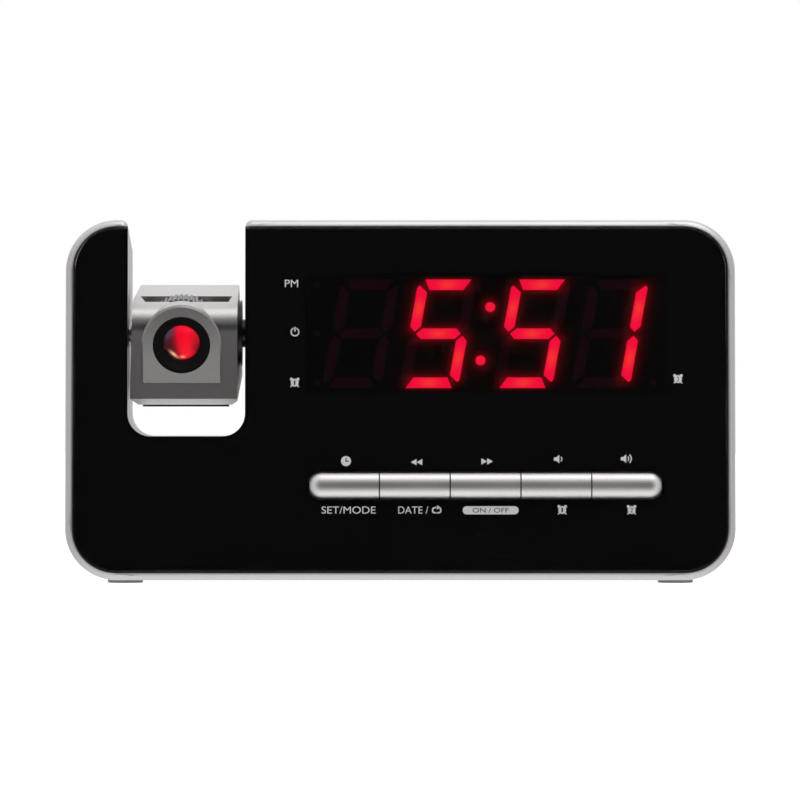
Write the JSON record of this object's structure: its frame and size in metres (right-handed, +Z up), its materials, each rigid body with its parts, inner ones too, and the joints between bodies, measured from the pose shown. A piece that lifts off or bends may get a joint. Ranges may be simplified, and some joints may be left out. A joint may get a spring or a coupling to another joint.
{
  "type": "projection alarm clock",
  "caption": "Projection alarm clock: leaning black front plate with LED digits and a button bar, silver casing, and a swinging projector head in a notch.",
  "frame": {"origin": "middle of the footprint, on the surface that the feet stand on", "axes": "+X to the right seen from the front, +Y from the front to the back, +Z up"},
  "size_m": [0.19, 0.0571, 0.1029],
  "materials": {
    "silver_paint": "satin silver paint",
    "silver_button": "satin silver plating",
    "smoked_clear": "polished, smoked",
    "black_print": "matt print",
    "display_black": "matt",
    "lit_red": "lit from behind",
    "dark_red": "unlit",
    "board_green": "solder mask",
    "chip_black": "moulded",
    "tinned_steel": "plated",
    "screw_steel": "zinc plated",
    "cell_jacket": "printed sleeve, blank",
    "cone_paper": "pressed paper",
    "magnet_grey": "ferrite",
    "black_rubber": "matt",
    "label_grey": "blank foil",
    "plunger_white": "moulded",
    "black_plastic": "satin",
    "grey_plastic": "satin",
    "lens_clear": "polished"
  },
  "bodies": {
    "case": {"front_cabinet": "silver_paint", "rear_cabinet": "silver_paint", "front_plate": "smoked_clear", "plate_mask": "black_print", "display_housing": "display_black", "lit_segments": "lit_red", "unlit_segments": "dark_red", "colon_dots": "lit_red", "indicator_dots": "dark_red", "control_board": "board_green", "control_board_chips": "chip_black", "light_sensor": "dark_red", "key_switches": "chip_black", "top_key_board": "board_green", "main_board": "board_green", "main_board_parts": "chip_black", "tuner_can": "tinned_steel", "dc_jack": "chip_black", "backup_cells": "cell_jacket", "battery_contacts": "tinned_steel", "speaker_frame": "tinned_steel", "speaker_cone": "cone_paper", "speaker_magnet": "magnet_grey", "rubber_feet": "black_rubber", "case_screws": "screw_steel", "board_screws": "screw_steel", "rating_plate": "label_grey", "antenna_grommet": "black_rubber"},
    "projector_head": {"head_front_shell": "silver_paint", "head_rear_shell": "silver_paint", "head_base_plate": "black_plastic", "head_screws": "screw_steel", "light_tube": "black_plastic", "time_slide": "lens_clear", "condenser_lens": "lens_clear", "projector_lamp": "lit_red", "lamp_board": "board_green", "pivot_hub": "black_plastic", "pivot_pin": "screw_steel", "pivot_collars": "black_plastic", "pivot_spring": "screw_steel"},
    "focus_ring": {"focus_ring": "grey_plastic"},
    "lens_barrel": {"lens_barrel": "black_plastic", "projection_lens": "lens_clear"},
    "snooze_key": {"snooze_key": "silver_button", "snooze_plunger": "plunger_white"},
    "beam_key": {"beam_key": "silver_button", "beam_plunger": "plunger_white"},
    "battery_door": {"battery_door": "silver_paint"},
    "clock_button": {"clock_button": "silver_button", "clock_plunger": "plunger_white"},
    "back_button": {"back_button": "silver_button", "back_plunger": "plunger_white"},
    "forward_button": {"forward_button": "silver_button", "forward_plunger": "plunger_white"},
    "volume_down_button": {"volume_down_button": "silver_button", "volume_down_plunger": "plunger_white"},
    "volume_up_button": {"volume_up_button": "silver_button", "volume_up_plunger": "plunger_white"}
  },
  "joints": [
    {"name": "head_tilt", "type": "hinge", "parent": "case", "child": "projector_head", "pos_m": [-0.06153, -0.00598, 0.0708], "axis": [-1, 0, 0], "range_deg": [0, 180]},
    {"name": "focus_turn", "type": "hinge", "parent": "projector_head", "child": "focus_ring", "pos_m": [-0.06202, -0.00598, 0.0708], "axis": [0, -0.9781, -0.2079], "range_deg": [0, 180]},
    {"name": "barrel_slide", "type": "slide", "parent": "projector_head", "child": "lens_barrel", "axis": [0, 0.9781, 0.2079], "range_m": [0, 0.002]},
    {"name": "clock_press", "type": "slide", "parent": "case", "child": "clock_button", "axis": [0, 0.9962, -0.0872], "range_m": [0, 0.0005], "stiffness_N_per_m": 600, "springref_m": -0.001},
    {"name": "back_press", "type": "slide", "parent": "case", "child": "back_button", "axis": [0, 0.9962, -0.0872], "range_m": [0, 0.0005], "stiffness_N_per_m": 600, "springref_m": -0.001},
    {"name": "forward_press", "type": "slide", "parent": "case", "child": "forward_button", "axis": [0, 0.9962, -0.0872], "range_m": [0, 0.0005], "stiffness_N_per_m": 600, "springref_m": -0.001},
    {"name": "volume_down_press", "type": "slide", "parent": "case", "child": "volume_down_button", "axis": [0, 0.9962, -0.0872], "range_m": [0, 0.0005], "stiffness_N_per_m": 600, "springref_m": -0.001},
    {"name": "volume_up_press", "type": "slide", "parent": "case", "child": "volume_up_button", "axis": [0, 0.9962, -0.0872], "range_m": [0, 0.0005], "stiffness_N_per_m": 600, "springref_m": -0.001},
    {"name": "snooze_press", "type": "slide", "parent": "case", "child": "snooze_key", "axis": [0, -0.1451, -0.9894], "range_m": [0, 0.0006], "stiffness_N_per_m": 600, "springref_m": -0.001},
    {"name": "beam_press", "type": "slide", "parent": "case", "child": "beam_key", "axis": [0, -0.1451, -0.9894], "range_m": [0, 0.0006], "stiffness_N_per_m": 600, "springref_m": -0.001},
    {"name": "door_lift", "type": "slide", "parent": "case", "child": "battery_door", "axis": [0, 1, 0], "range_m": [0, 0.014]}
  ],
  "couplings": [
    {"joint": "focus_turn", "follows": "barrel_slide", "rad_per_m": 1570.8}
  ]
}
